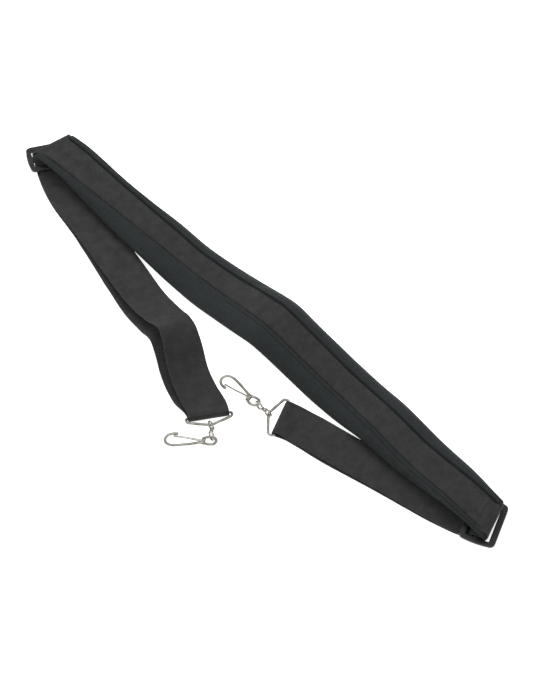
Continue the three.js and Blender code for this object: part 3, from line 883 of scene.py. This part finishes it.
# The strip's root is folded round both wires of the neck, which closes the bow.
def neckClamp(side):
    joint = joints[side + "_gate_open"]
    root = Vector(joint["pos_m"])
    normal = Vector(joint["axis"]).normalized()
    corners = [vert.co.copy() for vert in frame["nodes"][side + "_hook_gate"].data.vertices]
    way = max((point - root for point in corners), key=lambda v: v.length)
    way = (way - normal * way.dot(normal)).normalized()
    turn = Matrix((way.cross(normal), normal, way)).transposed().to_4x4()
    place = Matrix.Translation(root + way * gate["clampShift"]) @ turn
    shape = Matrix.Diagonal((gate["clampReach"], gate["clampHeight"], 1, 1))
    bm = bmesh.new()
    bmesh.ops.create_cone(bm, cap_ends=False, segments=32, radius1=1, radius2=1, depth=gate["clampLength"],
                          matrix=place @ shape)
    bmesh.ops.subdivide_edges(bm, edges=[edge for edge in bm.edges if not edge.is_boundary], cuts=2)
    made = addPiece(side + "NeckClamp", bm, "gate", body=side + "_snap")
    giveThickness(made, gate["thick"], 1)
    roundEdges(made, gate["clampEdge"], 2, 50)


for side in ("left", "right"):
    gateStrip(side)
    neckClamp(side)
print("gates made")


# Slides: moulded frames with every edge rounded

slides = {
    "edge": 0.55 * mm,
    "flatAngle": 2,     # degrees; flatter edges than this are merged away before the others are rounded
}


def mouldedSlide(side):
    bm = mergedCopy(side + "_slide")
    bmesh.ops.dissolve_limit(bm, angle_limit=math.radians(slides["flatAngle"]), verts=bm.verts, edges=bm.edges)
    made = addPiece(side + "SlideFrame", bm, "plastic", replaced=[side + "_slide"])
    roundEdges(made, slides["edge"], 3, 28).harden_normals = True


for side in ("left", "right"):
    mouldedSlide(side)
print("slides made")


# Floor, light and camera

stage = {
    "floor": "#f2f2f1",
    "glow": 0.8,        # the floor's own light, which keeps its shadows faint
    "zenith": 0.8,
    "horizon": 0.03,
    "size": 6,
    "below": 0.2 * mm,
}
bm = bmesh.new()
bmesh.ops.create_grid(bm, x_segments=1, y_segments=1, size=stage["size"])
floorMesh = bpy.data.meshes.new("floor")
bm.to_mesh(floorMesh)
bm.free()
floor = bpy.data.objects.new("floor", floorMesh)
floor.location.z = -stage["below"]
bpy.context.scene.collection.objects.link(floor)
floorMaterial, tree = newMaterial("paleFloor")
floorShader = addNode(tree, "BsdfPrincipled", {
    "Base Color": linear(stage["floor"]), "Roughness": 0.9,
    "Emission Color": linear("#ffffff"), "Emission Strength": stage["glow"]})
addNode(tree, "OutputMaterial", {}, {"Surface": floorShader.outputs["BSDF"]})
floorMesh.materials.append(floorMaterial)

# A studio that is bright overhead and dark towards its walls, which gives the metal its dark lines.
world = bpy.data.worlds.new("studio")
world.use_nodes = True
tree = world.node_tree
tree.nodes.clear()
direction = addNode(tree, "TexCoord").outputs["Generated"]
height = addNode(tree, "SeparateXYZ", {}, {"Vector": direction}).outputs["Z"]
strength = addNode(tree, "MapRange", {"From Min": 0.3, "From Max": 0.8, "To Min": stage["horizon"],
                                      "To Max": stage["zenith"]}, {"Value": height})
background = addNode(tree, "Background", {"Color": linear("#ffffff")}, {"Strength": strength.outputs[0]})
addNode(tree, "OutputWorld", {}, {"Surface": background.outputs[0]})
bpy.context.scene.world = world

# No lamp is mirrored in the wires, whose bright tops would be lost against the white floor.
lights = {
    "key": {"at": (-1.5, 1.4, 1.7), "size": 1.5, "power": 62},
    "fill": {"at": (-0.4, -2.1, 1.3), "size": 1.8, "power": 30},
}
for name, light in lights.items():
    data = bpy.data.lights.new(name, "AREA")
    data.size = light["size"]
    data.energy = light["power"]
    lamp = bpy.data.objects.new(name, data)
    lamp.location = light["at"]
    lamp.visible_glossy = False
    lamp.rotation_euler = (-Vector(light["at"])).to_track_quat("-Z", "Y").to_euler()
    bpy.context.scene.collection.objects.link(lamp)

camera = {
    "target": Vector((10.56, 62.2, 0)) * mm,
    "azimuth": 46.6,
    "elevation": 52.0,
    "distance": 3.25,
    "lens": 179.7,
    "shift": (-0.005, -0.02),
}
az = math.radians(camera["azimuth"])
el = math.radians(camera["elevation"])
away = Vector((math.sin(az) * math.cos(el), -math.cos(az) * math.cos(el), math.sin(el)))
cameraData = bpy.data.cameras.new("camera")
cameraData.lens = camera["lens"]
cameraData.sensor_width = 36
cameraData.shift_x, cameraData.shift_y = camera["shift"]
cameraData.clip_end = 20
cameraObject = bpy.data.objects.new("camera", cameraData)
cameraObject.location = camera["target"] + away * camera["distance"]
cameraObject.rotation_euler = (-away).to_track_quat("-Z", "Y").to_euler()
bpy.context.scene.collection.objects.link(cameraObject)
bpy.context.scene.camera = cameraObject
bpy.context.scene.view_settings.view_transform = "Standard"
print("stage set")
